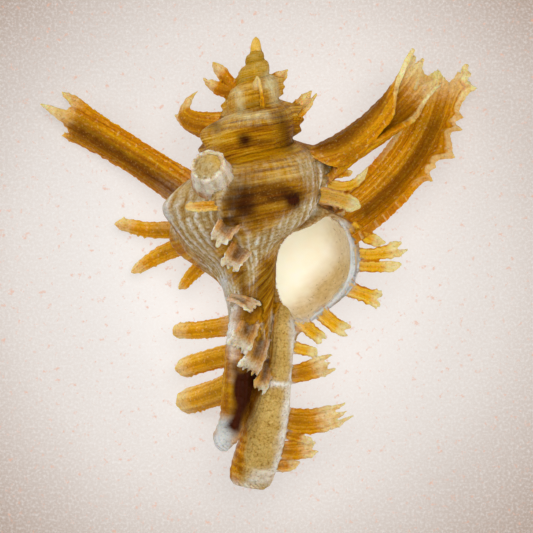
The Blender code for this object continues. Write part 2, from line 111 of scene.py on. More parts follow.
# Fronds, by coat (see COATS), groove direction, half angle of the channel in degrees and wall: name,
# base, middle, tip, width at each of them, and number of points along the tip
TO_LIP = (-0.2, 0, 1)
TO_BACK = (0.75, 0, -0.66)
TO_LEFT = (-0.8, 0.1, 0.6)
TO_VIEW = (0.1, 0.1, 1)
FROND_GROUPS = (
    # Outer lip
    ("amber", TO_LIP, 62, 1.1, (
    ("lip_shoulder", 11.8, 36.9, -2.4, 21.5, 46.3, -6.2, 25.9, 58.4, -13.3, 6.4, 6.2, 6.8, 4),)),
    ("amber", TO_LIP, 50, 0.8, (
    ("lip_web", 7, 37.4, -3.2, 9.4, 38.5, -2.7, 12, 40.2, -3.2, 3.4, 3.6, 3, 1),)),
    ("gutter", TO_LIP, 60, 0.6, (
    ("lip_1", 13, 36.2, -2.6, 15.4, 34.6, -2.7, 17.4, 33.9, -2.4, 1.5, 1.3, 1.1, 1),
    ("lip_2", 13.2, 32.5, -2.6, 17, 32.4, -3, 20.6, 33.6, -3.4, 1.5, 1.3, 2.4, 2),
    ("lip_3", 13.2, 30.9, -2.6, 16.5, 30.6, -3.2, 19.8, 30.8, -3.8, 1.4, 1.2, 1.2, 1))),
    ("gutter", TO_LIP, 62, 0.6, (
    ("lip_4", 12.2, 27.8, -2.4, 15.2, 26.6, -2.8, 17.6, 25.9, -3.4, 2, 1.6, 2.8, 2),
    ("lip_5", 8.6, 24.6, -1.4, 10.6, 22.8, -1.8, 12.8, 21.6, -2.4, 1.9, 1.6, 2, 2),
    ("lip_6", 5.8, 23.4, -0.6, 7.8, 21.6, -1, 9.5, 20.2, -1.6, 1.7, 1.4, 1.6, 2))),
    ("gutter", TO_LIP, 60, 0.6, (
    ("lip_7", 4.4, 19.8, 0.2, 6.6, 19.2, -0.2, 8.5, 18.8, -0.8, 1.4, 1.2, 1.1, 1),)),
    ("fan", TO_LIP, 62, 0.6, (
    ("lip_8", 3.6, 15.6, 0.2, 7, 16.3, -0.2, 10.6, 17.6, -1, 2, 2.2, 2.6, 3),)),
    ("fan", TO_LIP, 64, 0.6, (
    ("lip_9", 3, 10.2, -0.2, 7.4, 9.4, -0.8, 12.4, 10.8, -1.6, 2.6, 3, 2.6, 3),)),
    ("fan", TO_LIP, 60, 0.6, (
    ("lip_10", 2.6, 8, -0.6, 5.4, 7.3, -0.9, 7.8, 6.5, -1.4, 1.2, 1, 0.8, 1),)),
    ("fan", TO_LIP, 62, 0.6, (
    ("lip_11", 1.8, 5.6, -1.2, 5.4, 5.4, -1.6, 8.6, 5.9, -2.2, 1.8, 2.2, 1.8, 2),)),
    ("fan", TO_LIP, 60, 0.6, (
    ("lip_12", 1.4, 3.4, -1.8, 3.8, 3.3, -2.2, 5.8, 3.7, -2.6, 1.2, 1.4, 1.2, 1),)),
    # Varix one turn before the lip
    ("trough", (0.25, -0.62, 0.8), 66, 1, (
    ("upper_shoulder", 7.2, 44.6, -1.6, 15.8, 50, -1.4, 23.6, 57.8, -0.4, 4.8, 3.8, 7.2, 4),)),
    ("honey", TO_LIP, 60, 0.6, (
    ("upper_1", 9.6, 43.6, -1.4, 11.6, 43.3, -1.2, 13.2, 43.6, -1, 1.3, 0.9, 0.6, 1),)),
    ("gutter", TO_LIP, 60, 0.6, (
    ("upper_2", 10, 41.9, -1.4, 13, 41.8, -1.2, 15.2, 44, -1, 1.2, 1, 0.7, 1),)),
    ("gutter", TO_LIP, 70, 0.6, (
    ("upper_3", 8.8, 40.4, -0.6, 11.8, 39.6, 0.6, 13.9, 38.7, 1.2, 1.9, 1.7, 1.8, 1),)),
    # Varix behind, to the left
    ("striped", TO_BACK, 66, 1.1, (
    ("rear_shoulder", -7.4, 39.6, -7.6, -18, 46.6, -10.6, -27.4, 52.2, -13.4, 5.6, 4.4, 6.2, 3),)),
    ("honey", TO_BACK, 60, 0.8, (
    ("rear_1", -9.6, 36, -8.8, -14.4, 35.7, -10.8, -19.3, 36.8, -11.8, 1.9, 1.7, 1.4, 1),
    ("rear_2", -9, 33.8, -8.6, -13.2, 32.2, -10.8, -17, 29.8, -12, 2.2, 1.9, 1.3, 1))),
    ("honey", TO_BACK, 60, 0.7, (
    ("rear_3", -6.2, 31.8, -6.6, -9, 29.2, -8.8, -10.2, 27.4, -9.4, 2, 1.6, 1.3, 1),)),
    ("honey", TO_BACK, 60, 0.8, (
    ("rear_4", -2.8, 22.6, -3.2, -7, 21.9, -6, -11.1, 21.7, -8.6, 2.4, 1.9, 1.9, 1),)),
    ("honey", TO_BACK, 75, 0.8, (
    ("rear_5", -2.6, 18.6, -3.2, -6.8, 17.6, -6.4, -10.4, 16.4, -9.8, 2.6, 2.3, 2.5, 1),)),
    ("honey", TO_BACK, 75, 0.9, (
    ("rear_6", -2.6, 14.6, -3.8, -6.6, 12.8, -8.8, -10.2, 11.7, -14.7, 3.2, 3, 3, 2),)),
    # Varix in front, to the left
    ("stub", (-0.5, 0.8, 0.3), 120, 0.8, (
    ("front_shoulder", -5, 41.4, 8.2, -5.4, 42.4, 11, -5.9, 43.6, 13.2, 5.5, 4.3, 4.3, 3),)),
    ("honey", TO_LEFT, 60, 0.6, (
    ("front_1", -2.4, 39.2, 9, -6.2, 38.8, 11.2, -9.4, 38.6, 11.6, 1.4, 1.2, 0.9, 1),)),
    ("frill", TO_VIEW, 56, 0.6, (
    ("front_2", -2.6, 37.6, 8.8, -4, 35.8, 10.6, -5.6, 33.8, 10.8, 3, 2.5, 2.1, 2),
    ("front_3", -1.4, 33.6, 5.4, -2.6, 32.2, 7.6, -3.8, 30.2, 8.2, 2.9, 2.5, 2.2, 3))),
    ("frill", (0.1, 0.7, 0.8), 56, 0.6, (
    ("front_4", -3.6, 26.6, 3, -1.8, 26.1, 4.5, 0, 25.1, 5.2, 1.3, 1.6, 2.3, 4),)),
    ("frill", TO_VIEW, 54, 0.6, (
    ("front_5", -0.4, 24.4, 2.2, -1.2, 21.9, 4.6, -2.8, 19, 4.9, 2.4, 2.5, 3.2, 5),
    ("front_6", 0.8, 21.2, 2, 0.2, 18.9, 4.4, -1.2, 16.1, 4.7, 2.2, 2.3, 2.9, 5),
    ("front_7", 1.5, 17.6, 1, 1.1, 15.6, 3.5, 0.3, 13.5, 3.9, 1.5, 1.6, 1.9, 3))),
    # Spire
    ("spire", TO_BACK, 60, 0.7, (
    ("horn", -4.6, 49.8, -2.6, -9.5, 51.2, -5.8, -8.3, 54.5, -7.4, 3.6, 2.3, 0.7, 1),
    ("horn_lower", -6.6, 49.6, -4, -9, 50.4, -5.8, -10.9, 51.5, -6.8, 2.4, 1.7, 0.9, 1))),
    ("spire", TO_LIP, 60, 0.7, (
    ("spire_right", 3.4, 50.6, -0.6, 5.6, 52, -0.9, 8, 54.6, -1, 2.4, 2, 1.2, 2),)),
    ("spire", TO_LEFT, 62, 0.6, (
    ("spire_front", 0.5, 51.9, 2.6, 0.3, 54, 4.2, -0.1, 56.2, 4.7, 1.8, 1.5, 1.1, 1),)),
    ("spire", TO_BACK, 60, 0.6, (
    ("spire_left", -2.2, 54.6, -1.4, -4.8, 55, -2.6, -6.8, 56.4, -3.2, 1.8, 1.5, 1.1, 1),)),
    ("spire", TO_BACK, 50, 0.6, (
    ("spire_leaf", -2.6, 54.6, -1.8, -4, 56.6, -2.6, -5.6, 58.6, -3.2, 1.8, 1.9, 1.2, 1),)),
    ("spire", TO_LIP, 60, 0.6, (
    ("spire_tip", 1.4, 55.4, -0.4, 2.8, 56.2, -0.6, 4.1, 57.4, -0.7, 1.9, 1.6, 1.1, 1),)),
)
LONG_FROND_WIDTH = 4
THICKEST_WALL = 0.45
TIP_THINNING = 0.4
FROND_STEP = 0.16
SHORT_TIP_NOTCH = 0.3
# Skin in the stub's open end, and the blunt first whorl: centre, direction, radius, height
CUSHIONS = (((-6.35, 44, 12.2), (-0.26, 0.56, 0.78), 1.9, 0.67),
    ((0, 59.95, 0), (0, 1, 0), 0.78, 2.05))
# How far the tips of the long fronds reach, from one edge of the channel (-1) to the other (1)
LONG_TIPS = {
    "lip_shoulder": ((-1, 1.00), (-0.9, 1.03), (-0.6, 0.98), (-0.2, 1.04), (0, 1.00), (0.3, 0.96),
    (0.6, 1.01), (0.75, 0.99), (0.92, 1.04), (1, 0.97)),
    "upper_shoulder": ((-1, 1.00), (-0.85, 1.06), (-0.65, 0.97), (-0.4, 1.01), (-0.2, 0.97), (0, 1.03),
    (0.2, 0.95), (0.38, 0.83), (0.55, 0.92), (0.75, 1.00), (0.9, 0.94), (1, 0.97)),
    "rear_shoulder": ((-1, 0.96), (-0.8, 1.05), (-0.6, 0.93), (-0.35, 0.95), (-0.12, 1.15), (0.1, 0.94),
    (0.3, 0.88), (0.55, 0.87), (0.85, 0.93), (1, 0.9)),
}
# Spikes along the two edges of a frond, in millimetres, by coat
EDGE_SPIKES = {"amber": (0.15, 2.1), "striped": (0.2, 0.3), "trough": (0.1, 0.2), "stub": (0, 0)}
SHORT_EDGE_SPIKES = (0.28, 0.28)
# Half angle of the channel along the frond, in degrees, where it isn't even: reach and half angle
CLOSING = {
    "trough": ((0, 80), (0.12, 160), (0.54, 168), (0.64, 156), (0.8, 86), (1.2, 58)),
    "stub": ((0, 178), (1.2, 178)),
}

VOXEL = 0.145
MOST_TRIANGLES = 196000


def curve_through(x, knots):
    """Value at x of a smooth curve through the knots."""
    xs, ys = np.array(knots, dtype=float).T
    slopes = np.gradient(ys, xs)
    x = np.clip(x, xs[0], xs[-1])
    k = np.clip(np.searchsorted(xs, x, side="right") - 1, 0, len(xs) - 2)
    span = xs[k + 1] - xs[k]
    t = (x - xs[k]) / span
    rise = (1 + 2 * t) * (1 - t) ** 2 * ys[k] + t * t * (3 - 2 * t) * ys[k + 1]
    return rise + span * t * (1 - t) * ((1 - t) * slopes[k] - t * slopes[k + 1])


def ease(low, high, x):
    """Smooth rise from 0 to 1 between low and high."""
    t = np.clip((x - low) / (high - low), 0, 1)
    return t * t * (3 - 2 * t)


def unit(vectors):
    return vectors / np.linalg.norm(vectors, axis=-1, keepdims=True)


def zigzag(x):
    """Straight-sided wave of period 1, 0 at whole numbers and 1 between them."""
    return 1 - np.abs(2 * (np.asarray(x) % 1) - 1)


def jitter(number, salt=0):
    """A repeatable value between 0 and 1 for each number."""
    return (np.sin(np.asarray(number) * 12.9898 + salt * 78.233) * 43758.5453) % 1


def growth(turn):
    """Size of the shell at a growth position in turns; 0 is the lip."""
    return WHORL_RATIO ** np.asarray(turn, dtype=float)


def varix_offset(turn, drop, before_lip):
    """Degrees from the line of a varix, which slants except at the lip."""
    return (turn + before_lip) * 360 + (VARIX_SLANT * drop if before_lip > 0.1 else 0)


def section_radius(turn, drop):
    """Radius without varices and knobs, in shoulder radii."""
    spire = ease(-0.6, -0.95, turn)
    lip = ease(-0.32, -0.04, turn)
    body = (1 - spire) * (1 - lip)
    return (spire * curve_through(drop, SPIRE_SECTION) + body * curve_through(drop, BODY_SECTION)
        + lip * curve_through(drop, LIP_SECTION))


def shell_radius(turn, drop):
    """Radius of the outer surface at a drop below the shoulder, both in shoulder radii."""
    turn, drop = np.broadcast_arrays(np.asarray(turn, dtype=float), np.asarray(drop, dtype=float))
    radius = section_radius(turn, drop)
    on_whorl = ease(-0.17, 0.05, drop) * ease(1.45, 0.7, drop)
    frilled = 1 + 0.45 * ease(-1.2, -1.4, turn) * (zigzag(2.6 * drop + 0.3) - 0.5)
    for before_lip, height, half_width in VARICES:
        offset = varix_offset(turn, drop, before_lip) / half_width
        radius = radius + height * np.exp(-offset ** 2) * on_whorl * frilled
    for before_lip, knob_drop, height, half_width in KNOBS:
        offset = (turn + before_lip) * 360 / half_width
        radius = radius + height * np.exp(-offset ** 2 - ((drop - knob_drop) / KNOB_DROP_WIDTH) ** 2)
    return radius


def place(turn, radius, drop_from_apex):
    """Point at a growth position, a radius and a height below the apex."""
    angle = LIP_ANGLE + np.asarray(turn) * 2 * math.pi
    height = APEX_Y - drop_from_apex + 0 * angle
    return np.stack([radius * np.cos(angle), height, radius * np.sin(angle)], -1)


# ---- Growing the pieces ----

class Grown:
    """A grown piece, and how far each of its points lies along and across the growth.

    A frond's points also have a reach (0 at its base, 1 at its tip), an edge (-1 to 1 across it),
    a groove (1 on its floor) and a ridge (1 on its ribs).
    """

    def __init__(self, kind, points, faces, along=0, across=0):
        self.kind, self.faces = kind, faces
        self.points = points.reshape(-1, 3)
        self.along = np.broadcast_to(along, points.shape[:-1]).ravel()
        self.across = np.broadcast_to(across, points.shape[:-1]).ravel()


def grid_faces(rows, columns, closed):
    """Quads over a grid of points; closed joins the last column to the first."""
    row = np.arange(rows - 1)[:, None]
    column = np.arange(columns if closed else columns - 1)[None, :]
    after = (column + 1) % columns
    low, high = row * columns, (row + 1) * columns
    quads = np.stack([low + column, low + after, high + after, high + column], -1)
    return quads.reshape(-1, 4).tolist()


def coil():
    """The spire and body whorl, in rows that follow the suture."""
    above = ROWS_PER_WHORL * (TURNS - 1)
    rows = above + ROWS_PER_WHORL + ROWS_OF_BASE + 1
    row = np.arange(rows)[None, :]
    turn = np.arange(COLUMNS + 1)[:, None] / COLUMNS - 1
    whorl = np.maximum(0, TURNS - 1 - row // ROWS_PER_WHORL)
    own_turn = turn - whorl
    size = growth(own_turn)
    step = row - ROWS_PER_WHORL * (TURNS - 1 - whorl)
    from_apex = SUTURE_DROP * LIP_DROP * size
    from_apex = from_apex * WHORL_RATIO ** (np.minimum(step, ROWS_PER_WHORL) / ROWS_PER_WHORL)
    stretch = (APEX_Y - BASE_Y) / from_apex
    from_apex = from_apex * stretch ** (np.maximum(step - ROWS_PER_WHORL, 0) / ROWS_OF_BASE)
    drop = (from_apex - LIP_DROP * size) / (LIP_RADIUS * size)
    radius = shell_radius(own_turn, drop) * LIP_RADIUS * size
    points = place(turn + 0 * row, radius, from_apex).reshape(-1, 3)
    apex, base = len(points), len(points) + 1
    points = np.vstack([points, [(0, APEX_Y, 0), (0, BASE_Y - 1, 0)]])

    # After one turn a row above the lip's suture meets the row one whorl below it
    index = np.arange((COLUMNS + 1) * rows).reshape(-1, rows)
    index[-1, :above + 1] = index[0, ROWS_PER_WHORL:ROWS_PER_WHORL + above + 1]
    quads = np.stack([index[:-1, :-1], index[1:, :-1], index[1:, 1:], index[:-1, 1:]], -1)
    faces = quads.reshape(-1, 4).tolist()
    last = rows - 1
    faces += [(a, b, apex) for a, b in zip(index[:-1, 0].tolist(), index[1:, 0].tolist())]
    faces += [(a, b, base) for a, b in zip(index[:-1, last].tolist(), index[1:, last].tolist())]
    faces.append((int(index[-1, last]), int(index[0, last]), base))
    # The top edge climbs one whorl in a turn, so the first rows of the first column meet the apex
    first = index[0, :ROWS_PER_WHORL + 1].tolist()
    faces += [(a, b, apex) for a, b in zip(first[:-1], first[1:])]
    # The end of the last whorl faces out of the mouth
    inner = index[0, above + ROWS_PER_WHORL:].tolist()
    outer = index[-1, above + 1:].tolist()
    faces.append(tuple(inner + outer[::-1]))
    own = np.append(np.broadcast_to(own_turn, (COLUMNS + 1, rows)).ravel(), (-TURNS, -1))
    return Grown("coil", points, faces, own)


def capped(rings):
    """Faces of a closed solid through an array of rings by sides."""
    count, sides = rings.shape[:2]
    faces = grid_faces(count, sides, closed=True)
    faces.append(tuple(range(sides)))
    faces.append(tuple(range((count - 1) * sides, count * sides)))
    return faces


def closed_curve(points, count):
    points = np.array(points)
    steps = np.linalg.norm(np.roll(points, -1, axis=0) - points, axis=1)
    length = np.concatenate([[0], np.cumsum(steps)])
    total = length[-1]
    padded = np.concatenate([length[:-1] - total, length[:-1], length[:-1] + total])
    where = np.arange(count) * total / count
    return np.stack([curve_through(where, np.stack([padded, np.tile(points[:, axis], 3)], 1))
        for axis in range(3)], -1)


def mouth_rings():
    """Sections of the last whorl's hollow, from the lip inwards."""
    rings = []
    for station in range(MOUTH_STATIONS):
        turn = MOUTH_OVERSHOOT - (MOUTH_TURNS_BACK + MOUTH_OVERSHOOT) * station / (MOUTH_STATIONS - 1)
        size = growth(turn)
        ring = [place(turn, radius * size, drop * size) for radius, drop in MOUTH_INNER_EDGE]
        for drop in MOUTH_OUTER_DROPS:
            section = (drop - LIP_DROP) / LIP_RADIUS
            radius = float(section_radius(min(turn, 0), section)) * LIP_RADIUS - MOUTH_WALL
            ring.append(place(turn, radius * size, drop * size))
        rings.append(closed_curve(ring, MOUTH_RING))
    rings = np.array(rings)
    middle = rings[-1].mean(axis=0)
    rings[-1] = middle + (rings[-1] - middle) * MOUTH_END_SIZE
    return rings


def mouth(rings):
    depth = np.arange(MOUTH_STATIONS)[:, None] / (MOUTH_STATIONS - 1) + np.zeros((1, MOUTH_RING))
    side = np.arange(MOUTH_RING)[None, :] / MOUTH_RING + np.zeros((MOUTH_STATIONS, 1))
    return Grown("mouth", rings, capped(rings), depth, side)


def smooth_stations(stations, count):
    """Stations read off a smooth curve through the given ones."""
    stations = np.array(stations, dtype=float)
    where = np.linspace(0, len(stations) - 1, count)
    own = np.arange(len(stations))
    return np.stack([curve_through(where, np.stack([own, stations[:, axis]], 1))
        for axis in range(stations.shape[1])], -1)


def tube(stations, ribs):
    """Flattened tube through stations, with low growth ribs."""
    stations = smooth_stations(stations, CANAL_STATIONS)
    centres = stations[:, :3]
    along = unit(np.gradient(centres, axis=0))
    across = unit(np.cross(along, (0, 0, 1)))
    depth = np.cross(across, along)
    angle = np.linspace(0, 2 * math.pi, CANAL_SIDES, endpoint=False)
    travelled = np.cumsum(np.linalg.norm(np.diff(centres, axis=0, prepend=centres[:1]), axis=1))
    wave = 1 + ribs * (zigzag(travelled[:, None] / 1.1 + 0.15 * np.sin(3 * angle)) - 0.5)
    wide = stations[:, 3:4] * np.cos(angle) * wave
    deep = stations[:, 4:5] * np.sin(angle) * wave
    rings = centres[:, None] + across[:, None] * wide[..., None] + depth[:, None] * deep[..., None]
    run = travelled[:, None] + 0 * wide
    turned = angle[None, :] * stations[:, 3:4]
    return Grown("tube", rings, capped(rings), run, turned)


def double(value):
    """Values across a channel's inside, and back across its outside."""
    return np.concatenate([value, value[:, ::-1]], axis=1)


def channel_faces(stations, steps):
    sides = 2 * steps
    faces = grid_faces(stations, sides, closed=True)
    for first in (0, (stations - 1) * sides):
        last = first + sides - 1
        faces += [(first + k, first + k + 1, last - 1 - k, last - k) for k in range(steps - 1)]
    return faces


def frond(number, coat, opens, half_angle, wall, row):
    """Half-open channel bent through three points, its tip and edges cut into points."""
    name, *places, at_base, at_middle, at_tip, tips = row
    base, middle, tip = np.array(places).reshape(3, 3)
    handle = 2 * middle - (base + tip) / 2
    long = at_base > LONG_FROND_WIDTH
    length = np.linalg.norm(middle - base) + np.linalg.norm(tip - middle)
    stations = int(length / FROND_STEP)
    steps = max(14, int(max(at_base, at_tip) * 1.3 / FROND_STEP))
    s = np.linspace(-1, 1, steps)[None, :]
    t = np.linspace(0, 1, stations)[:, None]

    # The tip is drawn out into uneven points, with smaller teeth between them
    teeth = zigzag((s + 1) * (5 if long else 1.5) * tips / 2 + jitter(number, 3))
    if coat == "stub":
        end = 1 - 0.1 * teeth * jitter(np.floor(6 * (s + 1)), 2) - 0.05 * np.sin(4 * s)
    elif coat == "honey":
        end = 1.04 - 0.1 * s * s - 0.03 * teeth
    elif name in LONG_TIPS:
        reaches, heights = np.array(LONG_TIPS[name]).T
        end = np.interp(s, reaches, heights) - 0.02 * teeth
    else:
        lobe = (s + 1) / 2 * tips
        valley = 1 - zigzag(lobe) * (0.55 + 0.45 * jitter(np.floor(lobe), number))
        if tips == 1:
            valley = np.abs(s) ** 1.5
        end = 1.1 - SHORT_TIP_NOTCH * (0.8 * valley + 0.2 * teeth)
    t = t * (1 + (end - 1) * ease(0.35, 1, t))

    centre = ((1 - t)[..., None] ** 2 * base + (2 * t * (1 - t))[..., None] * handle
        + (t * t)[..., None] * tip)
    along = unit((1 - t)[..., None] * (handle - base) + t[..., None] * (tip - handle))
    side_way = unit(np.cross(along, unit(opens)))
    open_way = np.cross(side_way, along)
    width = at_base * (1 - t) * (1 - 2 * t) + at_middle * 4 * t * (1 - t) + at_tip * t * (2 * t - 1)
    half = math.radians(half_angle) + 0 * t
    if coat in CLOSING:
        half = np.radians(curve_through(t, CLOSING[coat]))
    radius = width / 2 / np.sin(np.minimum(half, math.pi / 2))
    thick = np.minimum(wall, THICKEST_WALL * width) * (1 - TIP_THINNING * t)

    # Each edge carries its own uneven row of spikes, stronger towards the tip
    run = t * length
    side = np.where(s > 0, 1, 0)
    pitch = 2.7 if long else 1.3
    beat = run / pitch + 0.3 * np.sin(0.9 * run + number) + jitter(side + number, 5)
    spike = zigzag(beat) ** 2 * (0.15 + 0.85 * jitter(np.floor(beat) + 7 * side, number))
    size = np.array(EDGE_SPIKES.get(coat, SHORT_EDGE_SPIKES))[side]
    flare = np.sign(s) * np.abs(s) ** 5 * size * spike * ease(0.25, 0.55, t)
    sweep = half * s
    ribs = 0.5 + 0.5 * np.cos(math.pi * (8 if long else 4) * s + 0.8 * np.sin(run * 0.5 + number))
    steps_out = 0.6 + 0.4 * zigzag(run / 1.3 + 0.2 * np.cos(4 * s)) * ease(0.02, 0.2, t)
    outside = thick / 2 + (0.2 if long and coat != "stub" else 0.1) * ribs * steps_out
    inside, outside = (centre + side_way * (rim * np.sin(sweep) + flare)[..., None]
        + open_way * (radius * 0.5 - rim * np.cos(sweep))[..., None]
        for rim in (radius - thick / 2, radius + outside))
    rings = np.concatenate([inside, outside[:, ::-1]], axis=1)
    # The streaks of a frond run along it, where those of a whorl run across its growth
    grown = Grown("frond", rings, channel_faces(stations, steps), double(radius * half * s), double(run))
    grown.coat = coat
    grown.reach, grown.edge = double(t).ravel(), double(s + 0 * t).ravel()
    grown.groove = np.concatenate([np.ones_like(t), np.zeros_like(t)], axis=1).ravel()
    grown.ridge = double(ribs + 0 * t).ravel() * (1 - grown.groove)
    return grown


def cushion(centre, facing, radius, height):
    """Low round dome."""
    sides, rings = 40, 20
    around = np.linspace(0, 2 * math.pi, sides, endpoint=False)[None, :]
    over = np.linspace(0.02, math.pi - 0.02, rings)[:, None]
    outwards = unit(facing)
    across = unit(np.cross(outwards, (0, 0, 1)))
    upwards = np.cross(across, outwards)
    wide = radius * np.sin(over)
    points = (np.array(centre) + (wide * np.cos(around))[..., None] * across
        + (wide * np.sin(around))[..., None] * upwards
        + (height * np.cos(over) + 0 * around)[..., None] * outwards)
    return Grown("cushion", points, capped(points))


def mouth_rim(ring):
    outwards = unit(ring - ring.mean(axis=0))
    facing = place(0.25, 1, APEX_Y)
    angle = np.linspace(0, 2 * math.pi, 12, endpoint=False)
    ring_out = ring + outwards * RIM_RADIUS * 0.4
    points = (ring_out[:, None] + outwards[:, None] * (RIM_RADIUS * np.cos(angle))[:, None]
        + facing * (RIM_RADIUS * np.sin(angle))[:, None])
    faces = grid_faces(len(ring) + 1, len(angle), closed=True)
    count = len(ring) * len(angle)
    faces = [tuple(corner % count for corner in face) for face in faces]
    return Grown("rim", points, faces)


# ---- One skin ----

def linked_object(name, points, faces):
    mesh = bpy.data.meshes.new(name)
    mesh.from_pydata((np.asarray(points) * MM).tolist(), [], faces)
    made = bpy.data.objects.new(name, mesh)
    bpy.context.scene.collection.objects.link(made)
    return made


def face_outwards(mesh):
    shape = bmesh.new()
    shape.from_mesh(mesh)
    bmesh.ops.recalc_face_normals(shape, faces=shape.faces)
    shape.to_mesh(mesh)
    shape.free()


def modify(target, kind, **settings):
    modifier = target.modifiers.new(kind, kind)
    for key, value in settings.items():
        setattr(modifier, key, value)
    graph = bpy.context.evaluated_depsgraph_get()
    finished = bpy.data.meshes.new_from_object(target.evaluated_get(graph))
    target.modifiers.clear()
    old = target.data
    target.data = finished
    bpy.data.meshes.remove(old)


def merged(pieces, cutter):
    """All the pieces as one skin, with the mouth cut into it."""
    firsts = np.cumsum([0] + [len(piece.points) for piece in pieces])
    faces = [tuple(corner + first for corner in face)
        for piece, first in zip(pieces, firsts.tolist()) for face in piece.faces]
    skin = linked_object("murex", np.vstack([piece.points for piece in pieces]), faces)
    modify(skin, "REMESH", mode="VOXEL", voxel_size=VOXEL * MM)
    hollow = linked_object("hollow", cutter.points, cutter.faces)
    face_outwards(hollow.data)
    modify(skin, "BOOLEAN", operation="DIFFERENCE", solver="EXACT", object=hollow)
    bpy.data.objects.remove(hollow, do_unlink=True)
    modify(skin, "SMOOTH", factor=0.5, iterations=1)
    triangles = sum(len(face.vertices) - 2 for face in skin.data.polygons)
    if triangles > MOST_TRIANGLES:
        modify(skin, "DECIMATE", ratio=MOST_TRIANGLES / triangles)
    return skin


def keep_largest(mesh):
    """Drop doubled or broken faces and all but the largest connected part."""
    mesh.validate()
    shape = bmesh.new()
    shape.from_mesh(mesh)
    seen, parts = set(), []
    for first in shape.verts:
        if first in seen:
            continue
        seen.add(first)
        part = [first]
        for vertex in part:
            for edge in vertex.link_edges:
                other = edge.other_vert(vertex)
                if other not in seen:
                    seen.add(other)
                    part.append(other)
        parts.append(part)
    largest = max(parts, key=len)
    for part in parts:
        if part is not largest:
            bmesh.ops.delete(shape, geom=part, context="VERTS")
    shape.to_mesh(mesh)
    shape.free()


# ---- Where each point lies, and what coats it ----

# Coats of the fronds: amber body, dark core (strength, centre, half width across, end along), dark
# groove, golden groove, and cream and chalk towards the tip from a given reach
COATS = {
    "amber": (1, (0.54, 0.25, 0.34, 0.8), 0.1, 0.15, 0.7, 0, 0.9),
    "striped": (1, (0.78, 0.05, 0.5, 0.9), 0.2, 0.2, 0.8, 0, 0.93),
    "trough": (0.9, (0.75, -0.45, 0.3, 0.8), 0.35, 0.1, 0.8, 0, 0.86),
    "gutter": (0.6, (0.00, 0.00, 0.5, 0.5), 0.00, 1.00, 0.85, 0, 0.68),
    "honey": (0.9, (0.22, 0.00, 0.6, 0.5), 0.00, 0.3, 0.5, 0, 0.8),
    "fan": (0.45, (0.25, 0.00, 0.5, 0.5), 0.05, 0.3, 0.6, 0.35, 0.66),
    "frill": (0.25, (0.85, 0.00, 0.6, 0.62), 0.00, 0.00, 0.00, 1.5, 0.68),
    "stub": (0.35, (0.00, 0.00, 0.5, 0.5), 0.00, 0.4, 0.15, 0.66, 0.2),
    "spire": (0.7, (0.35, 0.00, 0.6, 0.55), 0.00, 0.25, 0.6, 0, 0.65),
}

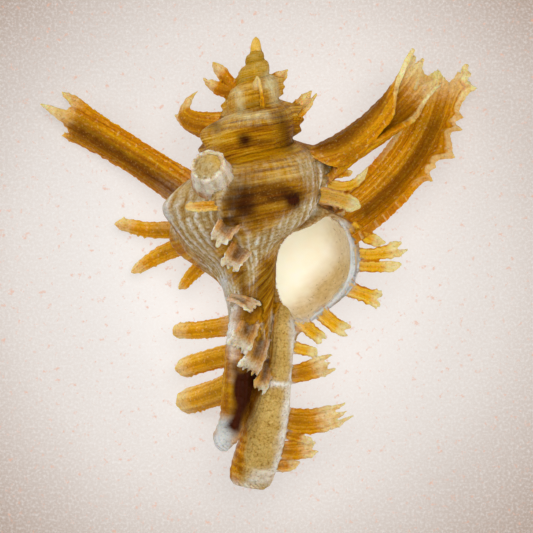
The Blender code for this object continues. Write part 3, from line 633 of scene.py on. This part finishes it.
# Tones laid on the upper side, later over earlier: start x and y, end x and y, half width, strength.
# Pale are chalky growth layers, cream the spire's sides, tan the canal's worn face, blue the thin edges,
# spot and dark the darker patches between varices, amber the canal's ribbed flank and the rim behind the
# layers
STROKES = {
    "pale": ((7.6, 44, 10.6, 39.4, 2.2, 0.8), (10.6, 39.2, 7.2, 37.7, 1.5, 1),
    (7.2, 37.7, -0.5, 32.8, 1.5, 1.1), (0.8, 33, -1.6, 28.2, 1, 0.7),
    (-12, 39.8, -8.6, 34.6, 2.7, 0.8), (-7.6, 41.8, -6.4, 37, 2, 0.8),
    (-8.2, 34.6, -3.5, 26.6, 1.3, 1.2), (-3.4, 26.6, -3.6, 21.5, 1, 1),
    (-3.6, 21.5, -2.6, 15.5, 0.9, 0.55), (-7.6, 44.6, -5.2, 41.6, 2, 0.9),
    (1.4, 14.7, 5.2, 14.4, 0.45, 1.2), (5.5, 23.5, 5, 15, 0.6, 1.1),
    (4.8, 13.5, 3.2, 3, 0.7, 1), (2.4, 1.8, -3.2, 0.6, 1.1, 0.7),
    (2.1, 24, 1.3, 17, 0.24, 0.9), (1.1, 22.5, 0.5, 17.5, 0.2, 0.8)),
    "cream": ((1.7, 56.6, 2.7, 53.4, 0.7, 0.8), (-2.5, 54.2, -2.1, 52.4, 0.7, 0.7),
    (-5.6, 51, 1.6, 51.2, 0.6, 0.5)),
    "tan": ((3.9, 24.4, 3.75, 21, 1.25, 1.2), (3.75, 21, 3.5, 16.6, 1.45, 1.2),
    (2.9, 13.6, 2.2, 11, 1.9, 1.2), (2.2, 11, 1.4, 8.6, 2.4, 1.2),
    (1.4, 8.6, 0.9, 4.5, 2.3, 1.2), (0.9, 4.5, 0, 1, 2.3, 1.2)),
    "blue": ((-4.2, 8.6, -4.8, 5.8, 1.5, 1.3), (-13.4, 38.8, -12.6, 37.6, 1.2, 0.8),
    (-4.4, 29, -4, 22, 0.5, 0.8), (11.6, 36, 13.8, 31.6, 0.9, 1),
    (13.8, 31.6, 12.8, 28, 1, 1.2), (12.8, 28, 8.6, 24.6, 1.1, 1.2),
    (8.6, 24.6, 5.8, 22.6, 0.9, 1)),
    "spot": ((-1.75, 47.7, -1.55, 47.5, 0.95, 1), (4.9, 39.8, 5.3, 39.7, 1.1, 1.6),
    (-6.6, 50.4, -5.4, 49.6, 0.9, 0.6), (3.4, 50.8, 4.5, 47.2, 1.1, 0.62),
    (-2.8, 41.6, -1.4, 40.4, 1.3, 0.5), (-3.2, 38.8, -1.4, 38.4, 1.5, 0.8),
    (-4.6, 36.2, -3, 36.6, 0.8, 0.75), (-3.4, 34, -2.6, 32.4, 1, 0.6),
    (-2, 29.4, -1.6, 26.8, 0.9, 0.6), (0, 25, 1.9, 30.6, 1.3, 0.55),
    (-1.6, 24, 0.6, 16.6, 1.4, 0.55), (-0.9, 15, -2.3, 10.2, 1.8, 1),
    (-2.9, 17, -2, 14, 1.1, 0.6), (-3, 8.9, -2.7, 8.3, 0.8, 0.65),
    (-2.2, 51.9, 0.2, 52.4, 0.8, 0.35)),
    "dark": ((-1.4, 47.5, 2, 47.3, 0.5, 0.45), (1.8, 39.9, 4.6, 39.8, 0.7, 0.4),
    (-3, 39.8, -1, 38.8, 1.7, 0.45), (-1, 41.6, 3.6, 41.4, 0.7, 0.3),
    (-1, 40.4, 3.4, 40.2, 1.3, 0.34), (-2.4, 36.2, 0, 36.6, 0.9, 0.3),
    (-2.7, 6.4, -2.3, 2.4, 0.6, 0.5)),
    "amber": ((-2.6, 6.8, -1.9, 1.8, 1, 1), (-12.2, 34.6, -9.4, 31.2, 0.9, 1.3),
    (-9.4, 31.2, -4.6, 27.2, 0.8, 1.3)),
}
# The same inside the mouth
MOUTH_SHADE = ((11.4, 36, 13, 31, 1.9, 0.75), (13, 31, 9, 26.2, 2.2, 1.1),
    (9, 26.2, 5.6, 24, 1.8, 0.9))
MASKS = ("amber", "gold", "dark", "spot", "pale", "blue", "cream", "tan", "inside", "shade", "ridge",
    "frond", "coil")

# Reach at which the edges of a long frond turn cream, by coat
CREAM_EDGES = {"amber": 0.3, "trough": 0.62}
FROND_STREAK = 0.2
STROKE_SHARE = 0.85
# Golden tone of the honey coat and least chalk of the frill coat
HONEY_GOLD = 1.5
FRILL_CHALK = 0.22
# Masks of the plainer pieces, by kind
PLAIN_MASKS = {"tube": {"amber": 0.3, "ridge": 0.8}, "cushion": {"gold": 0.8, "cream": 0.22},
    "rim": {"pale": 0.9}, "mouth": {"inside": 1}}


def distance_to_line(x, y, start_x, start_y, end_x, end_y):
    way_x, way_y = end_x - start_x, end_y - start_y
    along = (x - start_x) * way_x + (y - start_y) * way_y
    t = np.clip(along / max(way_x ** 2 + way_y ** 2, 1e-6), 0, 1)
    return np.hypot(x - start_x - t * way_x, y - start_y - t * way_y)


def rough(points, scale, salt=0):
    """Smooth noise between -1 and 1 at each point; scale is its grain in millimetres."""
    shifted = points / scale + salt
    return np.array([noise.noise(p) for p in shifted.tolist()])


def nearest(points, pieces):
    """For each point, the nearest piece and its nearest point."""
    cloud = np.vstack([piece.points for piece in pieces])
    counts = [len(piece.points) for piece in pieces]
    owner = np.repeat(np.arange(len(pieces)), counts)
    first = np.repeat(np.cumsum([0] + counts[:-1]), counts)
    tree = kdtree.KDTree(len(cloud))
    for number, point in enumerate(cloud.tolist()):
        tree.insert(point, number)
    tree.balance()
    found = np.array([tree.find(point)[1] for point in points.tolist()])
    return owner[found], found - first[found]


def lay(masks, here, **values):
    for name, value in values.items():
        masks[name][here] = value


def frond_masks(piece, spot, masks, here):
    amber, core, dark_groove, gold_groove, cream, chalk, tip_from = COATS[piece.coat]
    strength, centre, width, end = core
    reach, groove, s = piece.reach[spot], piece.groove[spot], piece.edge[spot]
    tip = ease(tip_from - 0.12, tip_from + 0.12, reach)
    body = ease(0.02, 0.14, reach) * ease(end + 0.12, end - 0.12, reach)
    creamy = cream * tip
    if piece.coat in CREAM_EDGES:
        start = CREAM_EDGES[piece.coat]
        creamy += 0.55 * ease(0.93, 0.99, np.abs(s)) * ease(start, start + 0.2, reach)
    lay(masks, here, amber=amber, cream=creamy, ridge=piece.ridge[spot], frond=1,
        gold=gold_groove * (HONEY_GOLD if piece.coat == "honey" else groove),
        dark=body * (strength * np.exp(-((s - centre) / width) ** 2) + dark_groove * groove),
        pale=chalk * np.maximum(tip, FRILL_CHALK if piece.coat == "frill" else 0))


def coil_place(points, own_turn):
    """Own turn and drop of points on the coil, near a known turn."""
    angle = (np.arctan2(points[:, 2], points[:, 0]) - LIP_ANGLE) / (2 * math.pi)
    own = angle + np.round(own_turn - angle)
    size = growth(own)
    drop = (APEX_Y - points[:, 1] - LIP_DROP * size) / (LIP_RADIUS * size)
    return own, drop


def coil_masks(own, drop, masks, here):
    """Bands that turn with the whorl, and pale varices."""
    last = ease(-1.25, -1.05, own)
    band = ease(0.24, 0.4, drop) * ease(1.05, 0.8, drop)
    lay(masks, here, coil=1, amber=0.8 * ease(-1.9, -2.5, own),
        dark=0.24 * band * last + 0.16 * (1 - last) * ease(0.5, 0.8, drop),
        cream=0.16 * ease(-0.1, 0.05, drop) * ease(0.42, 0.25, drop),
        gold=0.36 * ease(-1.9, -2.3, own) + 0.44 * ease(-2.8, -3.6, own))
    for before_lip, height, half_width in VARICES[:4]:
        offset = varix_offset(own, drop, before_lip) / (1.1 * half_width)
        masks["pale"][here] += 0.55 * np.exp(-offset ** 2) * ease(-0.1, 0.1, drop)


def find_marks(points, up, pieces):
    """Grain and coat masks at every point of the skin."""
    owner, spot = nearest(points, pieces)
    masks = {name: np.zeros(len(points)) for name in MASKS}
    grain = np.zeros((len(points), 3))
    for number, piece in enumerate(pieces):
        here = np.flatnonzero(owner == number)
        at = spot[here]
        if piece.kind == "coil":
            own, drop = coil_place(points[here], piece.along[at])
            grain[here, 0] = own * 2 * math.pi * LIP_RADIUS
            grain[here, 1] = drop * LIP_RADIUS
            coil_masks(own, drop, masks, here)
        elif piece.kind == "frond":
            grain[here, 0] = piece.along[at] * 1.5
            grain[here, 1] = piece.across[at] * FROND_STREAK
            frond_masks(piece, at, masks, here)
        else:
            grain[here, 0] = piece.along[at]
            grain[here, 1] = piece.across[at]
            lay(masks, here, **PLAIN_MASKS[piece.kind])
    x = points[:, 0] + 0.5 * rough(points, 1.6, 3)
    y = points[:, 1] + 0.5 * rough(points, 1.6, 9)
    outside = 1 - masks["inside"]
    drawn = x + 1.8 * rough(points * (0.12, 1.6, 0.12), 1, 5)
    for tone, strokes in STROKES.items():
        for *line, width, strength in strokes:
            far = distance_to_line(drawn if tone == "dark" else x, y, *line)
            weight = strength * np.exp(-(far / width) ** (6 if tone == "tan" else 2)) * up * outside
            if tone in ("spot", "dark", "amber"):
                masks["pale"] *= 1 - np.clip(weight, 0, 1)
            masks[tone] += weight * (1 - STROKE_SHARE * masks["frond"])
    for *line, width, strength in MOUTH_SHADE:
        weight = strength * np.exp(-(distance_to_line(x, y, *line) / width) ** 2)
        masks["shade"] = np.maximum(masks["shade"], weight * masks["inside"])
    return grain, masks, owner


LAYER_STEP = 1.9
LAYER_HEIGHT = 0.26
LANDING = 0.5


def relief(points, grain, masks, on_coil):
    """How far each point stands out of the smooth skin; the layers are kept as ridges."""
    outside = 1 - masks["inside"]
    warped = grain[:, 0] / LAYER_STEP + 0.8 * rough(points, 4.5, 1) + 0.22 * rough(points, 0.7, 2)
    layers = zigzag(warped) ** 2 * (0.45 + 0.55 * jitter(np.floor(warped), 4))
    masks["ridge"][on_coil] = layers[on_coil]
    lift = LAYER_HEIGHT * on_coil * np.clip(masks["pale"], 0, 1) * (layers - 0.25)
    flakes = np.clip(0.3 * rough(points, 0.8, 6), -0.04, 0.25)
    lift += masks["frond"] * np.clip(masks["pale"], 0, 1) * flakes
    lift += 0.09 * masks["frond"] * rough(points, 0.45, 8)
    lift += 0.05 * rough(points, 1.1, 5) + 0.07 * rough(points, 0.5, 7) * (0.4 + masks["pale"])
    return lift * outside


def set_marks(mesh, grain, masks):
    layer = mesh.attributes.new("grain", "FLOAT_VECTOR", "POINT")
    layer.data.foreach_set("vector", grain.astype(np.float32).ravel())
    for name, values in masks.items():
        layer = mesh.attributes.new(name, "FLOAT", "POINT")
        layer.data.foreach_set("value", np.clip(values, 0, 1).astype(np.float32))


def vectors_of(collection, name):
    values = np.empty(len(collection) * 3, dtype=np.float32)
    collection.foreach_get(name, values)
    return values.reshape(-1, 3).astype(float)


def murex():
    """The finished skin in the row frame."""
    rings = mouth_rings()
    at_lip = MOUTH_OVERSHOOT / (MOUTH_TURNS_BACK + MOUTH_OVERSHOOT)
    lip_ring = rings[round(at_lip * (MOUTH_STATIONS - 1))]
    pieces = [coil(), tube(CANAL, 0.03), tube(OLD_CANAL_FRONT, 0.1), tube(OLD_CANAL_BACK, 0.1),
        mouth_rim(lip_ring)]
    pieces += [cushion(*row) for row in CUSHIONS]
    rows = [(*style, row) for *style, members in FROND_GROUPS for row in members]
    pieces += [frond(number, *row) for number, row in enumerate(rows)]
    hollow = mouth(rings)
    skin = merged(pieces, hollow)
    mesh = skin.data
    keep_largest(mesh)
    points = vectors_of(mesh.vertices, "co") / MM
    normals = vectors_of(mesh.vertex_normals, "vector")
    up = ease(-0.1, 0.25, normals[:, 2])
    grain, masks, owner = find_marks(points, up, pieces + [hollow])
    points = points + normals * relief(points, grain, masks, owner == 0)[:, None]
    set_marks(mesh, grain, masks)

    # The CAD solid's own apex shows where the shell's frame lies in the row frame
    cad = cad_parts["murex_shell"].data
    apex = max((vertex.co for vertex in cad.vertices), key=lambda co: co.y)
    shift = np.array(apex) / MM - (0, APEX_Y, 0)
    points = points + shift
    low = points[:, 2] < LANDING
    points[low, 2] = LANDING * np.exp(points[low, 2] / LANDING - 1)
    mesh.vertices.foreach_set("co", (points * MM).astype(np.float32).ravel())
    mesh.update()
    mesh.shade_smooth()
    return skin, shift


# ---- Materials ----

class Nodes:
    """Short calls for building a material's node tree."""

    def __init__(self, name):
        self.material = bpy.data.materials.new(name)
        self.material.use_nodes = True
        self.tree = self.material.node_tree
        self.surface = self.tree.nodes["Principled BSDF"]

    def add(self, kind, inputs=None, **settings):
        node = self.tree.nodes.new(kind)
        for key, value in settings.items():
            setattr(node, key, value)
        self.fill(node, inputs or {})
        return node

    def fill(self, node, inputs):
        for key, value in inputs.items():
            self.put(node.inputs[key], value)

    def put(self, socket, value):
        if isinstance(value, bpy.types.NodeSocket):
            self.tree.links.new(value, socket)
        else:
            socket.default_value = value

    def mark(self, name):
        return self.add("ShaderNodeAttribute", attribute_name=name).outputs["Fac"]

    def vector(self, name):
        return self.add("ShaderNodeAttribute", attribute_name=name).outputs["Vector"]

    def scaled(self, vector, by):
        made = self.add("ShaderNodeVectorMath", {0: vector, 1: by}, operation="MULTIPLY")
        return made.outputs["Vector"]

    def noise(self, vector, scale, detail=3, roughness=0.55):
        return self.add("ShaderNodeTexNoise", {"Vector": vector, "Scale": scale, "Detail": detail,
            "Roughness": roughness}).outputs["Fac"]

    def maths(self, operation, a, b, clamp=False):
        made = self.add("ShaderNodeMath", {0: a, 1: b}, operation=operation, use_clamp=clamp)
        return made.outputs[0]

    def plus(self, a, b, clamp=False):
        return self.maths("ADD", a, b, clamp)

    def times(self, a, b):
        return self.maths("MULTIPLY", a, b)

    def total(self, *parts):
        """Sum of values, each with its weight."""
        first, *others = (self.times(value, weight) for value, weight in parts)
        for other in others:
            first = self.plus(first, other)
        return first

    def spread(self, value, low, high, to_low=0, to_high=1):
        return self.add("ShaderNodeMapRange", {"Value": value, "From Min": low, "From Max": high,
            "To Min": to_low, "To Max": to_high}).outputs["Result"]

    def ramp(self, factor, *stops):
        made = self.add("ShaderNodeValToRGB", {"Fac": factor})
        elements = made.color_ramp.elements
        while len(elements) < len(stops):
            elements.new(0.5)
        for element, (position, *color) in zip(elements, stops):
            element.position = position
            element.color = (*color, 1)
        return made.outputs["Color"]

    def mix(self, factor, a, b):
        made = self.add("ShaderNodeMix", {"Factor": factor}, data_type="RGBA")
        self.fill(made, {6: a, 7: b})
        return made.outputs[2]


def shell_material():
    """Ochre bands, chalky layers, amber fronds, cream tips and a glossy mouth with a painted glow."""
    n = Nodes("murex_shell")
    grain = n.vector("grain")
    where = n.add("ShaderNodeTexCoord").outputs["Object"]
    spiral = n.noise(n.scaled(grain, (0.07, 0.95, 0)), 1, 4, 0.55)
    growth_lines = n.noise(n.scaled(grain, (1.1, 0.1, 0)), 1, 5, 0.66)
    broad = n.noise(where, 170, 4, 0.6)
    fine = n.noise(where, 1400, 3, 0.6)
    speckle = n.noise(where, 3200, 2, 0.6)

    ridge, frond_mask, pale, inside = (n.mark(name) for name in ("ridge", "frond", "pale", "inside"))
    streaks = n.plus(growth_lines, n.times(n.mark("coil"), n.maths("SUBTRACT", spiral, growth_lines)))
    ochre = n.ramp(n.spread(spiral, 0.32, 0.68), (0, 0.15, 0.042, 0.002), (0.35, 0.36, 0.135, 0.006),
        (0.65, 0.57, 0.275, 0.02), (1, 0.74, 0.46, 0.1))
    amber = n.ramp(n.spread(streaks, 0.3, 0.7), (0, 0.26, 0.065, 0.0005),
        (0.4, 0.56, 0.19, 0.0015), (0.7, 0.74, 0.34, 0.012), (1, 0.86, 0.54, 0.08))
    gold = n.ramp(n.spread(streaks, 0.3, 0.7), (0, 0.62, 0.29, 0.012), (0.5, 0.86, 0.51, 0.06),
        (1, 0.94, 0.74, 0.28))
    dark = n.ramp(n.spread(spiral, 0.35, 0.72), (0, 0.012, 0.003, 0.0006), (0.5, 0.095, 0.021, 0.0007),
        (1, 0.28, 0.09, 0.003))
    cords = n.add("ShaderNodeTexWave", {"Vector": n.scaled(grain, (0, 1, 0)), "Scale": 0.42,
        "Distortion": 1.2, "Detail": 2}, bands_direction="Y").outputs["Fac"]
    layered = n.total((ridge, 0.55), (growth_lines, 0.4), (fine, 0.4), (speckle, 0.3), (cords, 0.05),
        (frond_mask, 0.24))
    chalk = n.ramp(n.spread(layered, 0.46, 1.12), (0, 0.3, 0.15, 0.02), (0.3, 0.5, 0.36, 0.15),
        (0.6, 0.66, 0.58, 0.44), (1, 0.93, 0.92, 0.88))
    cream = n.ramp(n.spread(fine, 0.2, 0.8), (0, 0.74, 0.56, 0.2), (0.5, 0.86, 0.74, 0.4),
        (1, 0.95, 0.9, 0.66))
    grit = n.total((speckle, 0.6), (growth_lines, 0.4))
    tan = n.ramp(n.spread(grit, 0.3, 0.66), (0, 0.28, 0.14, 0.03), (0.35, 0.52, 0.335, 0.1),
        (1, 0.68, 0.49, 0.19))
    blue = n.ramp(n.spread(broad, 0.35, 0.65), (0, 0.52, 0.54, 0.52), (1, 0.76, 0.79, 0.8))
    mouth_cream = n.ramp(n.spread(broad, 0.3, 0.7), (0, 0.93, 0.88, 0.72), (0.5, 0.96, 0.93, 0.82),
        (1, 0.98, 0.97, 0.91))
    mouth_tan = n.ramp(n.spread(fine, 0.1, 0.9), (0, 0.46, 0.28, 0.08), (0.5, 0.62, 0.43, 0.17),
        (1, 0.74, 0.6, 0.34))

    # Each mask gets a ragged edge along the lines of the surface
    ragged = n.spread(n.plus(growth_lines, n.times(fine, 0.5)), 0.45, 1.05, -0.22, 0.22)
    drawn = n.spread(n.plus(spiral, n.times(fine, 0.3)), 0.4, 0.9, -0.28, 0.28)
    color = ochre
    coats = {"amber": amber, "tan": tan, "gold": gold, "dark": dark, "pale": chalk, "cream": cream,
        "blue": blue}
    for name, coat in coats.items():
        mask = n.mark(name)
        edge = drawn if name == "dark" else ragged
        shifted = n.plus(mask, n.times(edge, n.spread(mask, 0, 0.15)), clamp=True)
        color = n.mix(shifted, color, coat)
    ribbed = n.times(n.times(ridge, frond_mask), n.spread(fine, 0.45, 0.65))
    light = n.spread(n.mark("dark"), 0, 0.6, 1, 0.12)
    color = n.mix(n.times(ribbed, n.times(light, 0.25)), color, (0.86, 0.5, 0.14, 1))
    flecks = n.spread(n.noise(n.scaled(grain, (1.6, 8, 0)), 1, 2, 0.5), 0.58, 0.68)
    color = n.mix(n.times(flecks, n.times(n.mark("amber"), n.times(light, 0.4))), color,
        (0.9, 0.74, 0.42, 1))
    # Soft dark spots, then lighter crests and painted shade darkening the creases
    color = n.mix(n.spread(speckle, 0.56, 0.74, 0, 0.22), color, (0.85, 0.62, 0.26, 1))
    color = n.mix(n.spread(speckle, 0.44, 0.28, 0, 0.4), color, (0.12, 0.04, 0.001, 1))
    color = n.mix(n.spread(n.plus(n.mark("spot"), n.times(drawn, 0.35)), 0.08, 1), color,
        n.ramp(spiral, (0.3, 0.01, 0.0013, 0.0002), (0.7, 0.06, 0.0095, 0.0003)))
    crest = n.add("ShaderNodeNewGeometry").outputs["Pointiness"]
    crest_tone = n.mix(n.maths("SUBTRACT", frond_mask, pale, clamp=True), (0.88, 0.8, 0.6, 1),
        (0.88, 0.52, 0.12, 1))
    edges = n.times(n.plus(frond_mask, pale, clamp=True), light)
    # Crests, found by pointiness, turn lighter: cream, and orange on the fronds
    color = n.mix(n.times(edges, n.spread(crest, 0.52, 0.6, 0, 0.45)), color, crest_tone)
    # Painted shade: the creases, found by pointiness, are darkened towards black-brown
    color = n.mix(n.spread(crest, 0.48, 0.4, 0, 0.6), color, (0.09, 0.03, 0.002, 1))
    color = n.add("ShaderNodeHueSaturation", {"Saturation": n.spread(pale, 0, 1, 1.06, 1),
        "Value": 1.04, "Color": color}).outputs["Color"]
    lining = n.mix(n.mark("shade"), mouth_cream, mouth_tan)
    pits = n.times(n.spread(n.noise(where, 2600, 1, 0.5), 0.66, 0.7),
        n.spread(n.mark("shade"), 0.5, 0.75, 0, 0.6))
    lining = n.mix(pits, lining, (0.2, 0.1, 0.02, 1))
    color = n.mix(inside, color, lining)
    rough_outside = n.spread(pale, 0, 1, 0.42, 0.75)
    unspotted = n.spread(n.mark("spot"), 0, 1, 1, 0)
    soft = n.times(n.spread(frond_mask, 0, 1, 0.25, 0.6), unspotted)
    plain = n.plus(frond_mask, n.times(pale, 0.6), clamp=True)
    height = n.total((cords, n.spread(plain, 0, 1, 0.35, 0)),
        (growth_lines, n.spread(frond_mask, 0, 1, 0.7, 1.1)), (speckle, 0.5))
    height = n.times(height, n.spread(inside, 0, 1, 1, 0.05))
    bump = n.add("ShaderNodeBump", {"Height": height, "Strength": 0.9, "Distance": 0.00026})
    # The mouth's lining glows faintly through emission: painted light in place of light bounced inside
    # the hollow
    n.fill(n.surface, {"Base Color": color, "Normal": bump.outputs["Normal"], "IOR": 1.5,
        "Roughness": n.spread(inside, 0, 1, rough_outside, 0.22),
        "Specular IOR Level": n.spread(inside, 0, 1, 0.06, 0.5),
        "Emission Color": color, "Emission Strength": n.spread(inside, 0, 1, 0, 0.125),
        "Subsurface Weight": soft, "Subsurface Radius": (1, 0.45, 0.16), "Subsurface Scale": 0.0014})
    return n.material


TABLE_GLOW = 0.63


def table_material():
    """Pale, faintly speckled sheet that glows, brightest under the shell."""
    n = Nodes("pale_sheet")
    where = n.add("ShaderNodeTexCoord").outputs["Object"]
    cloud = n.noise(where, 30, 5, 0.6)
    dots = n.noise(where, 900, 3, 0.7)
    distance = n.add("ShaderNodeVectorMath", {0: where}, operation="LENGTH").outputs["Value"]
    # Painted pool of light: the sheet's colour, and so its glow, dims from the centre outwards
    paper_with_painted_falloff = n.ramp(n.spread(distance, 0, 0.11), (0.13, 0.93, 0.895, 0.87), (0.31, 0.74, 0.68, 0.64),
        (0.48, 0.415, 0.31, 0.25), (0.9, 0.54, 0.46, 0.41))
    paper_with_painted_falloff = n.mix(n.spread(cloud, 0.3, 0.7, 0, 0.12), paper_with_painted_falloff, (1, 0.98, 0.96, 1))
    grains = n.noise(where, 2600, 2, 0.7)
    paper_with_painted_falloff = n.mix(n.spread(grains, 0.45, 0.75, 0, 0.35), paper_with_painted_falloff, (1, 1, 1, 1))
    pink = n.spread(dots, 0.6, 0.7)
    color = n.mix(n.times(pink, 0.6), paper_with_painted_falloff, (0.82, 0.42, 0.28, 1))
    n.fill(n.surface, {"Base Color": n.mix(0.6, color, (0, 0, 0, 1)), "Roughness": 0.9,
        "Emission Color": color, "Emission Strength": TABLE_GLOW})
    return n.material


# ---- Stage ----

TABLE_SIDE = 0.6
MOUTH_PLANE = 0.014
SEEN_WIDTH = 0.07295
CAMERA_LENS = 300
SENSOR = 36
SEEN_CENTRE = (1.44, 30.6)


def floor():
    bpy.ops.mesh.primitive_plane_add(size=TABLE_SIDE)
    sheet = bpy.context.object
    sheet.name = "pale_sheet"
    sheet.data.materials.append(table_material())


def area_light(name, place_at, towards, size, watts, color):
    data = bpy.data.lights.new(name, "AREA")
    data.shape = "DISK"
    data.size = size
    data.energy = watts
    data.color = color
    light = bpy.data.objects.new(name, data)
    light.location = place_at
    light.rotation_euler = (Vector(towards) - Vector(place_at)).to_track_quat("-Z", "Y").to_euler()
    bpy.context.scene.collection.objects.link(light)


def lights():
    target = (0, 0, 0.01)
    area_light("overhead", (0.05, 0.1, 0.55), target, 0.4, 1.85, (1, 0.985, 0.96))
    area_light("left", (-0.42, 0.12, 0.22), target, 0.25, 0.85, (0.93, 0.96, 1))
    area_light("right", (0.4, -0.18, 0.25), target, 0.25, 0.65, (1, 0.97, 0.92))
    world = bpy.data.worlds.new("room")
    bpy.context.scene.world = world
    world.use_nodes = True
    background = world.node_tree.nodes["Background"]
    background.inputs["Color"].default_value = (1, 0.98, 0.96, 1)
    background.inputs["Strength"].default_value = 0.21


def camera(shift):
    data = bpy.data.cameras.new("camera")
    data.lens = CAMERA_LENS
    data.sensor_width = SENSOR
    data.clip_start = 0.01
    data.clip_end = 10
    made = bpy.data.objects.new("camera", data)
    height = MOUTH_PLANE + SEEN_WIDTH * CAMERA_LENS / SENSOR
    made.location = ((SEEN_CENTRE[0] + shift[0]) * MM, (SEEN_CENTRE[1] + shift[1]) * MM, height)
    bpy.context.scene.collection.objects.link(made)
    bpy.context.scene.camera = made


def main():
    skin, shift = murex()
    skin.name = "murex"
    skin.data.name = "murex"
    skin.data.materials.clear()
    skin.data.materials.append(shell_material())
    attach(skin, "root")
    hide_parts("murex_shell")
    floor()
    lights()
    camera(shift)
    scene = bpy.context.scene
    scene.view_settings.view_transform = "Standard"
    scene.view_settings.look = "None"


main()
